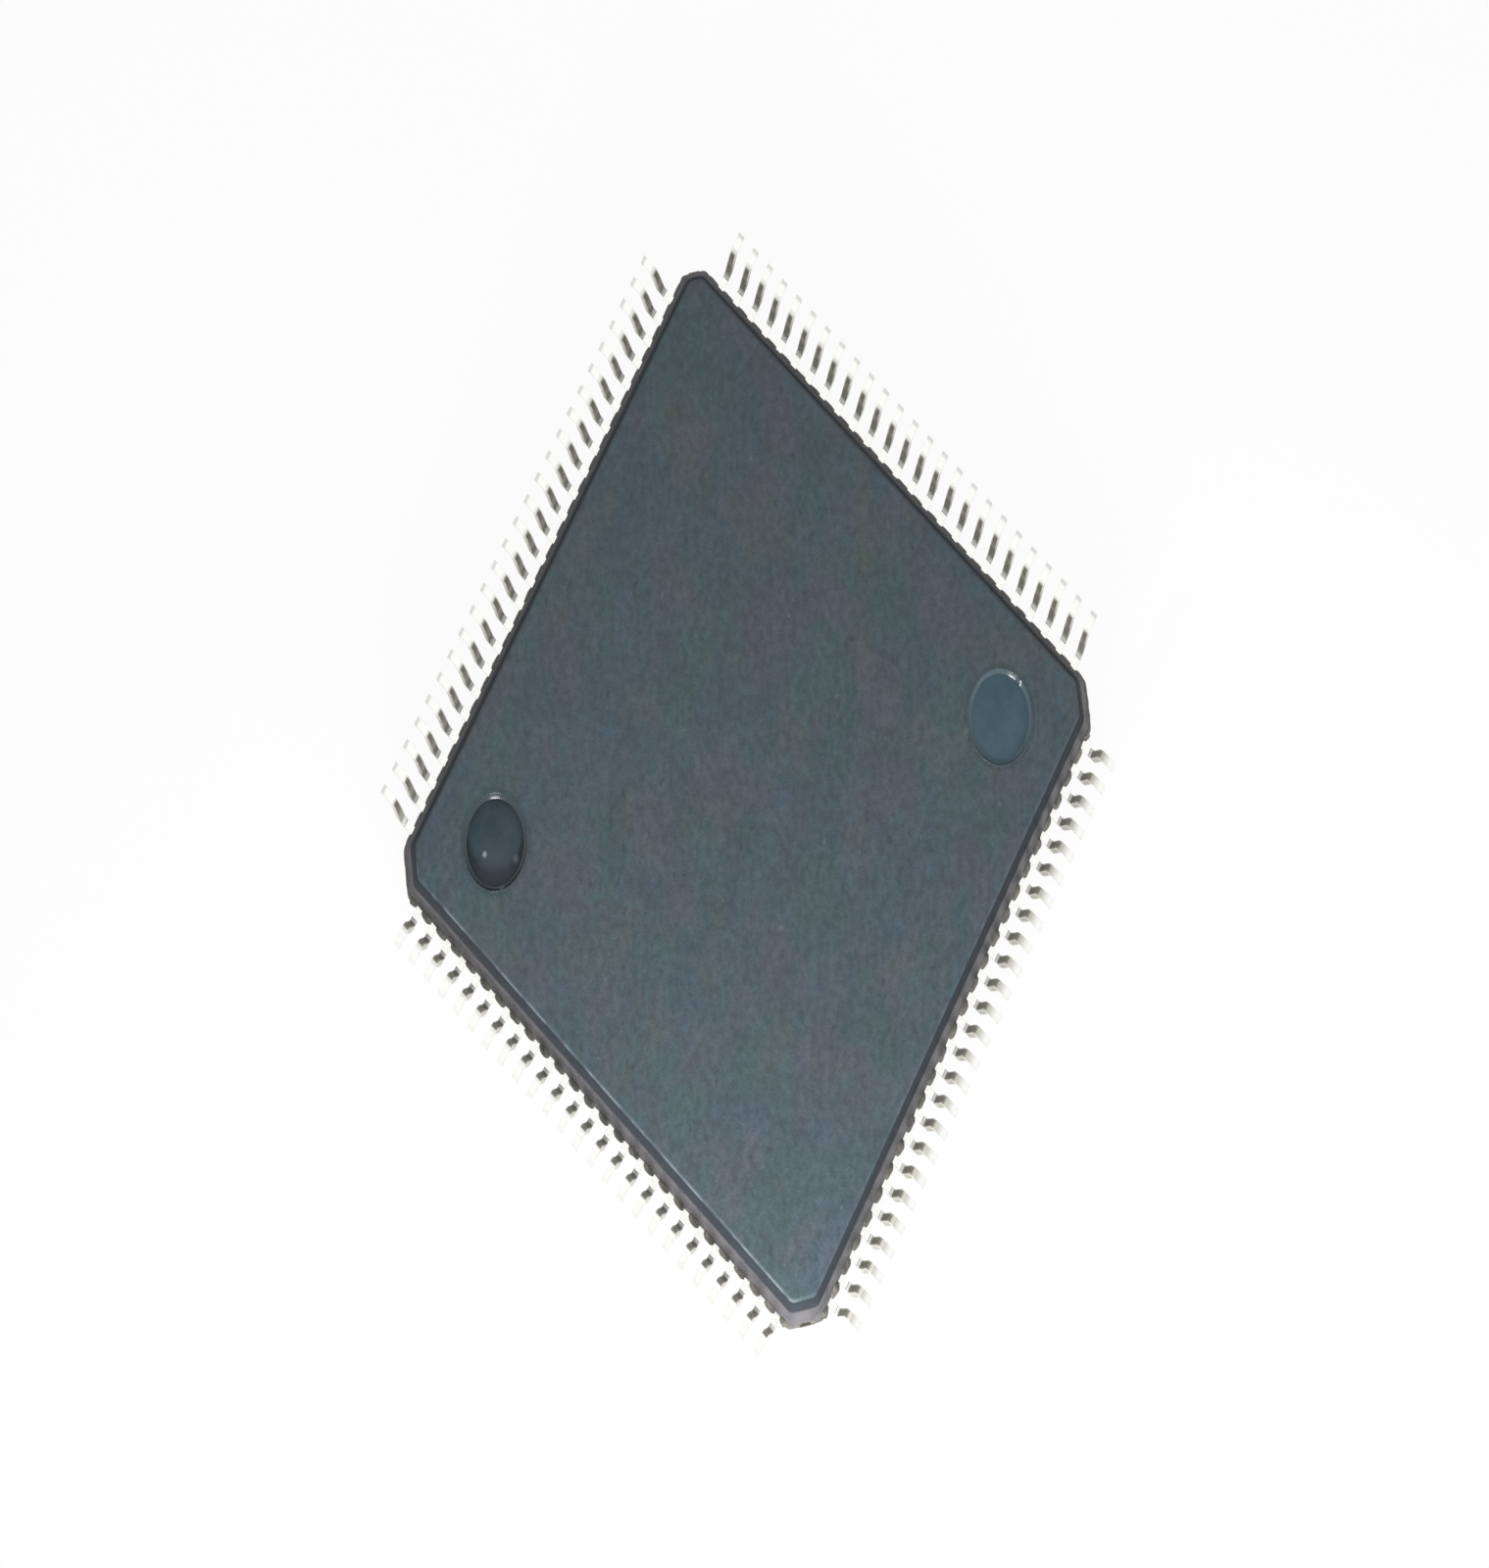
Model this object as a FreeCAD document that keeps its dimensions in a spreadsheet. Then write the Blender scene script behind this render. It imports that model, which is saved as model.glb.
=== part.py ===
import FreeCAD, Part
import math
import os

import Sketcher

# A plastic quad flat pack chip, lying on its top face with its feet in the air, as it was
# photographed. Lengths are in millimetres. The origin is the middle of the face that it lies on,
# +Z runs out of the underside, and the feet are soldered to a board at their highest flats.

SIZES = {
    # The moulded package
    "body_side": 14.0,
    "body_height": 2.0,
    "corner_cut_width": 0.62,
    "small_corner_cut_width": 0.42,
    "corner_radius": 0.25,
    "draft_degrees": 15.0,
    "face_edge_bevel": 0.08,
    # Round marks on the underside, left by the pins that push the package out of its mould, each
    # with its middle at one distance from the two sides that meet beside it
    "mark_diameter": 1.67,
    "mark_side_distance": 2.05,
    "deep_mark_depth": 0.3,
    "shallow_mark_depth": 0.06,
    "mark_rim_bevel": 0.04,
    # The dimple on the top face beside pin one
    "dimple_diameter": 1.0,
    "dimple_side_distance": 1.6,
    "dimple_depth": 0.1,
    # Leads, bent from the sheet that the whole frame is stamped from. Each side has as many as
    # leave the end distance free at both of its corners.
    "row_end_distance": 1.0,
    "lead_spacing": 0.5,
    "lead_width": 0.17,
    "metal_thickness": 0.15,
    "bend_radius": 0.12,
    "bend_facets": 2,
    "shoulder_length": 0.37,
    "lead_length": 1.0,
    "foot_length": 0.38,
    "stand_off_height": 0.2,
    # The part of each lead inside the package, which fans in towards the die
    "root_length": 0.6,
    "finger_gap": 0.55,
    "finger_bar_gap": 0.468,
    "finger_tip_width": 0.14,
    # Die pad, held by a bar to each corner of the package
    "pad_side": 7.6,
    "pad_offset": 0.3,
    "bar_width": 0.3,
    "bar_flat_length": 0.48,
    "bar_ramp_length": 0.5,
    "bar_stub_length": 0.02,
    # The silicon and what holds it
    "glue_thickness": 0.03,
    "die_side": 5.2,
    "die_height": 0.35,
    # Bond wires, from the die to the tips of the leads
    "bond_edge_gap": 0.12,
    "bond_corner_distance": 0.32,
    "wire_thickness": 0.03,
    "wire_loop_height": 0.2,
    "wire_crest_distance": 0.65,
    "wire_landing_gap": 0.15,
}
LEADS_PER_NODE = 5
SIDE_NAMES = ("east", "north", "west", "south")
CORNERS = ((1, -1), (1, 1), (-1, 1), (-1, -1))
SMALL_CORNER = (-1, 1)
QUARTER_TURN = 90
FLAT = 1e-6
NORMAL = FreeCAD.Vector(1, 0, 0)


def make_sheet(doc):
    """The spreadsheet that holds every driving size under its own name."""
    sheet = doc.addObject("Spreadsheet::Sheet", "sizes")
    for row, (name, value) in enumerate(SIZES.items(), start=1):
        sheet.set(f"A{row}", name)
        sheet.set(f"B{row}", str(value))
        sheet.setAlias(f"B{row}", name)
    doc.recompute()
    return sheet


def origin_plane(body, role):
    """One of the planes that a body is born with."""
    for feature in body.Origin.OriginFeatures:
        if feature.Role == role:
            return feature
    raise ValueError(role)


def flat_sketch(body, name, height):
    """A sketch parallel to the ground, at a height given as an expression."""
    sketch = body.newObject("Sketcher::SketchObject", name)
    sketch.AttachmentSupport = [(origin_plane(body, "XY_Plane"), "")]
    sketch.MapMode = "FlatFace"
    sketch.setExpression("AttachmentOffset.Base.z", height)
    return sketch


def fix_point(sketch, geometry, end, name, across, along):
    """Holds one end of a line at a place given by two expressions."""
    for axis, kind, expression in (("x", "DistanceX", across), ("y", "DistanceY", along)):
        value = getattr(sketch.getPoint(geometry, end), axis)
        index = sketch.addConstraint(Sketcher.Constraint(kind, -1, 1, geometry, end, value))
        label = f"{name}_{axis}"
        sketch.renameConstraint(index, label)
        sketch.setExpression(f"Constraints.{label}", expression)


def cut_name(corner):
    """Which size says how much one corner of the package is cut off."""
    return "small_corner_cut_width" if corner == SMALL_CORNER else "corner_cut_width"


def draw_outline(sketch, sheet):
    """A square with its corners cut off, one of them less, as eight lines that share their ends."""
    half = sheet.body_side / 2
    side = "sizes.body_side / 2"
    corners = []
    for across, along in CORNERS:
        cut = cut_name((across, along))
        short = half - getattr(sheet, cut)
        inner = f"{side} - sizes.{cut}"
        before = (short, half) if across * along < 0 else (half, short)
        for reach_x, reach_y in (before, before[::-1]):
            word_x = side if reach_x == half else inner
            word_y = side if reach_y == half else inner
            place = FreeCAD.Vector(across * reach_x, along * reach_y, 0)
            corners.append((place, f"{across} * ({word_x})", f"{along} * ({word_y})"))
    count = len(corners)
    for index in range(count):
        start, stop = corners[index][0], corners[(index + 1) % count][0]
        sketch.addGeometry(Part.LineSegment(start, stop), False)
    for index in range(count):
        sketch.addConstraint(Sketcher.Constraint("Coincident", index, 2, (index + 1) % count, 1))
    for index, (_, across, along) in enumerate(corners):
        fix_point(sketch, index, 1, f"corner{index}", across, along)


def draw_circle(sketch, name, across, along, diameter):
    """A circle whose place and size are expressions."""
    circle = Part.Circle(FreeCAD.Vector(0, 0, 0), FreeCAD.Vector(0, 0, 1), 1)
    index = sketch.addGeometry(circle, False)
    fix_point(sketch, index, 3, name, across, along)
    size = sketch.addConstraint(Sketcher.Constraint("Diameter", index, 2))
    sketch.renameConstraint(size, f"{name}_size")
    sketch.setExpression(f"Constraints.{name}_size", diameter)


def wall_faces(shape, level, below):
    """The names of the upright faces on one side of the parting plane."""
    names = []
    for index, face in enumerate(shape.Faces, start=1):
        upright = abs(face.normalAt(0, 0).z) < FLAT
        if upright and (face.CenterOfMass.z < level) == below:
            names.append(f"Face{index}")
    return names


def mould_half(doc, body, outline, parting, name, below):
    """What one half of the mould forms: walls that lean in from the parting plane, for its release."""
    pad = body.newObject("PartDesign::Pad", name)
    pad.Profile = outline
    pad.setExpression("Length", "sizes.body_height / 2")
    pad.Reversed = below
    pad.Refine = False
    doc.recompute()
    draft = body.newObject("PartDesign::Draft", f"{name}_draft")
    draft.Base = (pad, wall_faces(pad.Shape, parting.Placement.Base.z, below))
    draft.NeutralPlane = (parting, [""])
    draft.setExpression("Angle", "sizes.draft_degrees")
    draft.Reversed = below
    doc.recompute()
    return draft


def cut_mark(body, name, height, place, size, depth, upwards):
    """A round recess in one of the two faces."""
    sketch = flat_sketch(body, f"{name}_outline", height)
    draw_circle(sketch, name, place, place, size)
    pocket = body.newObject("PartDesign::Pocket", name)
    pocket.Profile = sketch
    pocket.setExpression("Length", depth)
    pocket.Reversed = upwards
    return pocket


def edges_where(shape, test):
    """The names of a shape's edges that pass a test."""
    return [f"Edge{index}" for index, edge in enumerate(shape.Edges, start=1) if test(edge)]


def bevel_edges(body, name, base, edges, size):
    """A bevel whose size is an expression."""
    bevel = body.newObject("PartDesign::Chamfer", name)
    bevel.Base = (base, edges)
    bevel.setExpression("Size", size)
    return bevel


def cut_recesses(doc, body, level):
    """The two round marks on the underside, with softened rims, and the dimple on the top face."""
    place = "(sizes.body_side / 2 - sizes.mark_side_distance)"
    size, face = "sizes.mark_diameter", "sizes.body_height"
    cut_mark(body, "deep_mark", face, f"-{place}", size, "sizes.deep_mark_depth", False)
    doc.recompute()
    marks = cut_mark(body, "shallow_mark", face, place, size, "sizes.shallow_mark_depth", False)
    doc.recompute()

    def on_a_rim(edge):
        return len(edge.Vertexes) == 1 and abs(edge.Vertexes[0].Z - level) < FLAT

    bevel_edges(body, "mark_rims", marks, edges_where(marks.Shape, on_a_rim), "sizes.mark_rim_bevel")
    doc.recompute()
    place = "sizes.body_side / 2 - sizes.dimple_side_distance"
    return cut_mark(body, "dimple", "0", place, "sizes.dimple_diameter", "sizes.dimple_depth", True)


def parting_plane(body):
    """The plane where the two halves of the mould meet, half way up the package."""
    plane = body.newObject("PartDesign::Plane", "parting_plane")
    plane.AttachmentSupport = [(origin_plane(body, "XY_Plane"), "")]
    plane.MapMode = "FlatFace"
    plane.setExpression("AttachmentOffset.Base.z", "sizes.body_height / 2")
    return plane


def soften_edges(doc, body, solid, level):
    """Rounds the upright corners, then bevels the edges of the two faces."""
    def rises(edge):
        return edge.BoundBox.ZLength > FLAT

    def on_a_face(edge):
        low, high = edge.BoundBox.ZMin, edge.BoundBox.ZMax
        return high < FLAT or low > level - FLAT

    rounded = body.newObject("PartDesign::Fillet", "corner_rounds")
    rounded.Base = (solid, edges_where(solid.Shape, rises))
    rounded.setExpression("Radius", "sizes.corner_radius")
    doc.recompute()
    edges = edges_where(rounded.Shape, on_a_face)
    bevel = bevel_edges(body, "face_edges", rounded, edges, "sizes.face_edge_bevel")
    doc.recompute()
    return bevel


def make_blank(doc, sheet):
    """The package before anything is taken out of it for what it holds."""
    body = doc.addObject("PartDesign::Body", "mould_blank")
    outline = flat_sketch(body, "parting_outline", "sizes.body_height / 2")
    draw_outline(outline, sheet)
    parting = parting_plane(body)
    doc.recompute()
    mould_half(doc, body, outline, parting, "underside_half", False)
    solid = mould_half(doc, body, outline, parting, "top_half", True)
    soft = soften_edges(doc, body, solid, sheet.body_height)
    last = cut_recesses(doc, body, sheet.body_height)
    body.Tip = last
    doc.recompute()
    bore = math.pi * sheet.mark_diameter ** 2 / 4
    least = bore * (sheet.deep_mark_depth + sheet.shallow_mark_depth)
    least += math.pi * sheet.dimple_diameter ** 2 / 4 * sheet.dimple_depth
    if soft.Shape.Volume - last.Shape.Volume < least - FLAT:
        raise ValueError("a recess cut nothing")
    return body


def bend_points(corner, before, after, thickness, radius, facets):
    """Both sides of one bend of a metal strip, as flat facets round a common centre."""
    turn = math.atan2(NORMAL.dot(before.cross(after)), before.dot(after))
    inward = math.copysign(1, turn)
    middle = radius + thickness / 2
    start = corner - before * (middle * math.tan(abs(turn) / 2))
    centre = start + NORMAL.cross(before) * (inward * middle)
    sides = ([], [])
    for step in range(facets + 1):
        spin = FreeCAD.Rotation(NORMAL, math.degrees(turn * step / facets))
        spoke = spin.multVec(NORMAL.cross(before)) * -inward
        for side, sign in zip(sides, (1, -1)):
            side.append(centre + spoke * (middle - inward * sign * thickness / 2))
    return sides


def bent_strip(path, thickness, radius, facets):
    """The side view of sheet metal whose middle follows a path of (run, rise) points."""
    points = [FreeCAD.Vector(0, run, rise) for run, rise in path]
    heads = [(b - a).normalize() for a, b in zip(points, points[1:])]
    above = [points[0] + NORMAL.cross(heads[0]) * thickness / 2]
    below = [points[0] - NORMAL.cross(heads[0]) * thickness / 2]
    for corner, before, after in zip(points[1:-1], heads, heads[1:]):
        upper, lower = bend_points(corner, before, after, thickness, radius, facets)
        above += upper
        below += lower
    above.append(points[-1] + NORMAL.cross(heads[-1]) * thickness / 2)
    below.append(points[-1] - NORMAL.cross(heads[-1]) * thickness / 2)
    return Part.makePolygon(above + below[::-1] + above[:1])


def strip_solid(sheet, path, width):
    """A bent strip of the frame's metal, centred on the YZ plane."""
    outline = bent_strip(path, sheet.metal_thickness, sheet.bend_radius, int(sheet.bend_facets))
    face = Part.Face(outline)
    face.translate(FreeCAD.Vector(-width / 2, 0, 0))
    return face.extrude(FreeCAD.Vector(width, 0, 0))


def gull_wing(sheet):
    """The bent part of a lead: root in the package, shoulder, leg and foot."""
    wall = sheet.body_side / 2
    level = sheet.body_height / 2
    tip = wall + sheet.lead_length
    sole = sheet.body_height + sheet.stand_off_height - sheet.metal_thickness / 2
    path = [(wall - sheet.root_length, level), (wall + sheet.shoulder_length, level),
            (tip - sheet.foot_length, sole), (tip, sole)]
    return strip_solid(sheet, path, sheet.lead_width)


def finger_ring(sheet):
    """How far the inner tips of the leads stay from the middle of the package, clear of the pad."""
    return sheet.pad_side / 2 + sheet.finger_gap


def last_place(sheet):
    """The place of the last lead of a side, counted in spacings from the middle of the side."""
    row = sheet.body_side - 2 * sheet.row_end_distance
    return math.floor(row / sheet.lead_spacing + FLAT) / 2


def tip_spacing(sheet):
    """How far apart the inner tips stand, so that the last one stays clear of the bar to the corner."""
    bar_edge = finger_ring(sheet) - sheet.bar_width / math.sqrt(2)
    return (bar_edge - sheet.finger_bar_gap - sheet.finger_tip_width / 2) / last_place(sheet)


def bond_spacing(sheet):
    """How far apart the wires start, so that the last one is still on the die."""
    return (sheet.die_side / 2 - sheet.bond_corner_distance) / last_place(sheet)


def finger(sheet, place):
    """The flat part of a lead that runs in towards the die, for the lead at one place on its side."""
    outer = sheet.body_side / 2 - sheet.root_length
    shift = (tip_spacing(sheet) - sheet.lead_spacing) * place
    bottom = sheet.body_height / 2 - sheet.metal_thickness / 2
    root, tip = sheet.lead_width / 2, sheet.finger_tip_width / 2
    ring = finger_ring(sheet)
    corners = [(-root, outer), (root, outer), (shift + tip, ring), (shift - tip, ring)]
    points = [FreeCAD.Vector(across, along, bottom) for across, along in corners]
    face = Part.Face(Part.makePolygon(points + points[:1]))
    return face.extrude(FreeCAD.Vector(0, 0, sheet.metal_thickness))


def turned(shape, side):
    """A copy of a north-side shape, turned to another side of the package."""
    copy = shape.copy()
    copy.rotate(FreeCAD.Vector(0, 0, 0), FreeCAD.Vector(0, 0, 1), QUARTER_TURN * (side - 1))
    return copy


def lead_places(sheet):
    """Where the leads of one side stand, counted in spacings from its middle."""
    last = last_place(sheet)
    return [index - last for index in range(round(2 * last) + 1)]


def make_leads(sheet):
    """All leads, side by side and going round the package, each one solid."""
    wing = gull_wing(sheet)
    north = []
    for place in lead_places(sheet)[::-1]:
        lead = wing.fuse(finger(sheet, place)).removeSplitter()
        lead.translate(FreeCAD.Vector(sheet.lead_spacing * place, 0, 0))
        north.append(lead)
    return [turned(lead, side) for side in range(len(SIDE_NAMES)) for lead in north]


def die_levels(sheet):
    """Heights of the pad's upper and lower faces, the glue's lower face and the die's lower face."""
    pad_low = sheet.body_height / 2 + sheet.pad_offset - sheet.metal_thickness / 2
    glue_low = pad_low - sheet.glue_thickness
    return pad_low + sheet.metal_thickness, pad_low, glue_low, glue_low - sheet.die_height


def tie_bar(sheet, corner_cut):
    """One bar from the pad to a corner of the package, lying along +Y before it is turned."""
    pad_top, pad_low = die_levels(sheet)[:2]
    pad_middle = (pad_top + pad_low) / 2
    level = sheet.body_height / 2
    corner = (sheet.body_side - corner_cut) / math.sqrt(2)
    start = sheet.pad_side / math.sqrt(2) + sheet.bar_flat_length
    path = [(sheet.pad_side / 2, pad_middle), (start, pad_middle),
            (start + sheet.bar_ramp_length, level), (corner + sheet.bar_stub_length, level)]
    return strip_solid(sheet, path, sheet.bar_width)


def make_pad(sheet):
    """The die pad and the four bars that hold it, stamped and bent from one sheet."""
    side = sheet.pad_side
    pad = Part.makeBox(side, side, sheet.metal_thickness,
                       FreeCAD.Vector(-side / 2, -side / 2, die_levels(sheet)[1]))
    bars = []
    for across, along in CORNERS:
        bar = tie_bar(sheet, getattr(sheet, cut_name((across, along))))
        turn = math.degrees(math.atan2(along, across)) - QUARTER_TURN
        bar.rotate(FreeCAD.Vector(0, 0, 0), FreeCAD.Vector(0, 0, 1), turn)
        bars.append(bar)
    return pad.fuse(bars).removeSplitter()


def make_wire(sheet, place):
    """One bond wire of the north side, from the die to the tip of its lead, thinned out at both ends."""
    die_low = die_levels(sheet)[3]
    landing_low = sheet.body_height / 2 - sheet.metal_thickness / 2
    start = FreeCAD.Vector(bond_spacing(sheet) * place, sheet.die_side / 2 - sheet.bond_edge_gap, 0)
    landing = finger_ring(sheet) + sheet.wire_landing_gap
    stop = FreeCAD.Vector(tip_spacing(sheet) * place, landing, 0)
    span = stop - start
    head = FreeCAD.Vector(span).normalize()
    aside = head.cross(FreeCAD.Vector(0, 0, 1)) * sheet.wire_thickness
    crest = die_low - sheet.wire_loop_height
    crest_run = sheet.wire_crest_distance
    profile = [(0, die_low), (crest_run, crest + sheet.wire_thickness), (span.Length, landing_low),
               (crest_run, crest)]
    points = [start + head * along - aside / 2 + FreeCAD.Vector(0, 0, rise) for along, rise in profile]
    return Part.Face(Part.makePolygon(points + points[:1])).extrude(aside)


def make_wires(sheet, side):
    """The bond wires of one side."""
    return [turned(make_wire(sheet, place), side) for place in lead_places(sheet)]


def add_feature(doc, name, shape):
    """A document object that holds a finished shape."""
    feature = doc.addObject("Part::Feature", name)
    feature.Shape = shape
    feature.Placement = FreeCAD.Placement()
    return feature


def add_slab(doc, name, side, height, level):
    """A square plate centred over the origin, with all its sizes as expressions."""
    slab = doc.addObject("Part::Box", name)
    slab.setExpression("Length", side)
    slab.setExpression("Width", side)
    slab.setExpression("Height", height)
    slab.setExpression("Placement.Base.x", f"-({side}) / 2")
    slab.setExpression("Placement.Base.y", f"-({side}) / 2")
    slab.setExpression("Placement.Base.z", level)
    return slab


def make_inside(doc, sheet):
    """Everything that the package is moulded round, each piece or group under its own name."""
    leads = make_leads(sheet)
    nodes = []
    for first in range(0, len(leads), LEADS_PER_NODE):
        group = leads[first:first + LEADS_PER_NODE]
        name = f"leads_{first + 1:03d}_{first + len(group):03d}"
        nodes.append(add_feature(doc, name, Part.makeCompound(group)))
    nodes.append(add_feature(doc, "die_pad", make_pad(sheet)))
    pad_low = "sizes.body_height / 2 + sizes.pad_offset - sizes.metal_thickness / 2"
    glue_low = f"{pad_low} - sizes.glue_thickness"
    nodes.append(add_slab(doc, "die_attach", "sizes.die_side", "sizes.glue_thickness", glue_low))
    die_low = f"{glue_low} - sizes.die_height"
    nodes.append(add_slab(doc, "die", "sizes.die_side", "sizes.die_height", die_low))
    for side, name in enumerate(SIDE_NAMES):
        wires = Part.makeCompound(make_wires(sheet, side))
        nodes.append(add_feature(doc, f"bond_wires_{name}", wires))
    doc.recompute()
    return nodes


def make_package(doc, blank, inside):
    """The mould compound: the blank less the exact shape of all that it holds."""
    tools = [solid for node in inside for solid in node.Shape.Solids]
    return add_feature(doc, "package_body", blank.Shape.cut(tools))


def check(doc, nodes):
    """Stops with a plain message if any object failed."""
    for item in doc.Objects:
        if "Invalid" in item.State or "Error" in item.State:
            raise ValueError(f"{item.Name} failed")
    for node in nodes:
        if node.Shape.isNull() or not node.Shape.isValid():
            raise ValueError(f"{node.Label} is not a valid shape")


def main():
    doc = FreeCAD.newDocument("quad_flat_pack")
    sheet = make_sheet(doc)
    blank = make_blank(doc, sheet)
    inside = make_inside(doc, sheet)
    package = make_package(doc, blank, inside)
    nodes = [package] + inside
    for node in nodes:
        node.Label = node.Name
    doc.recompute()
    check(doc, nodes)
    os.makedirs("parts", exist_ok=True)
    for node in nodes:
        node.Shape.exportStep(f"parts/{node.Label}.step")
        print(node.Label, len(node.Shape.Solids), round(node.Shape.Volume, 4))


main()
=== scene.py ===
import math
import random

import bmesh
import bpy
from mathutils import Matrix, Vector, noise


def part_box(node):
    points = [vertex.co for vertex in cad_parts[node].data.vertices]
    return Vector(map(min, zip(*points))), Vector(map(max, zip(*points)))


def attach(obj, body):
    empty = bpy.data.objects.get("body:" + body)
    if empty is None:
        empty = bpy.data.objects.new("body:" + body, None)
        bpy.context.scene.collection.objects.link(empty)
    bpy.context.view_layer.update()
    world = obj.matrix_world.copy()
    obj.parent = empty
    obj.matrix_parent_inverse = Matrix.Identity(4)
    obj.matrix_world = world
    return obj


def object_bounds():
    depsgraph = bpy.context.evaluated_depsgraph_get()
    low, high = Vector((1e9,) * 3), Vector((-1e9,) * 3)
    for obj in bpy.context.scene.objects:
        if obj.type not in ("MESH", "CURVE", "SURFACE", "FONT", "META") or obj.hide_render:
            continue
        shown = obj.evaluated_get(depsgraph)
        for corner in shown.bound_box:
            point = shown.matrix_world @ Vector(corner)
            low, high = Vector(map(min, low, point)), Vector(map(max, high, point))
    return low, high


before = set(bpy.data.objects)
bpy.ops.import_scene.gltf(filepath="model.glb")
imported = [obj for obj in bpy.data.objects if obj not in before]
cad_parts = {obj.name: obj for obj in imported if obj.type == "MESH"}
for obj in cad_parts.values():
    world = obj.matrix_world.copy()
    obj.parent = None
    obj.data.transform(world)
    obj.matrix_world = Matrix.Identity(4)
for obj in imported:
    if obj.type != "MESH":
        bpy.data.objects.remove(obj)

# A quad flat pack chip that lies on its top face, with the soles of its feet highest.
# Lengths are in metres unless a name or a comment says otherwise.

MM = 0.001
UP = Vector((0, 0, 1))
cad_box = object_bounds()

low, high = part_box("package_body")
BODY_HALF = high.x
FACE_LEVEL = high.z
FACE_MIDDLE = UP * FACE_LEVEL
PARTING_LEVEL = (low.z + high.z) / 2
TIP_REACH = cad_box[1][0]
SOLE_LEVEL = cad_box[1][2]

LEAD_SPACING = 0.5 * MM
LEADS_PER_SIDE = 25
LEAD_WIDTH = 0.17 * MM
METAL_THICKNESS = 0.15 * MM
LEG_START = BODY_HALF + 0.37 * MM
LEG_RUN = 0.25 * MM
LEG_RISE = 1.1 * MM
DRAFT = math.radians(15)
CORNER_RADIUS = 0.25 * MM
CORNER_CUT = 0.62 * MM
SMALL_CORNER_CUT = 0.42 * MM
MARK_DIAMETER = 1.67 * MM
MARK_PLACE = BODY_HALF - 2.05 * MM
MARK_DEPTH = 0.3 * MM

lead_nodes = [node for name, node in sorted(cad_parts.items()) if name.startswith("leads_")]
wire_nodes = [node for name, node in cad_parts.items() if name.startswith("bond_wires_")]


# Small helpers for materials

def to_linear(value):
    return value / 12.92 if value <= 0.04045 else ((value + 0.055) / 1.055) ** 2.4


def colour(red, green, blue):
    """A colour written in the everyday 0 to 255 scale, as linear light."""
    return tuple(to_linear(part / 255) for part in (red, green, blue)) + (1.0,)


WHITE = (1, 1, 1, 1)


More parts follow.
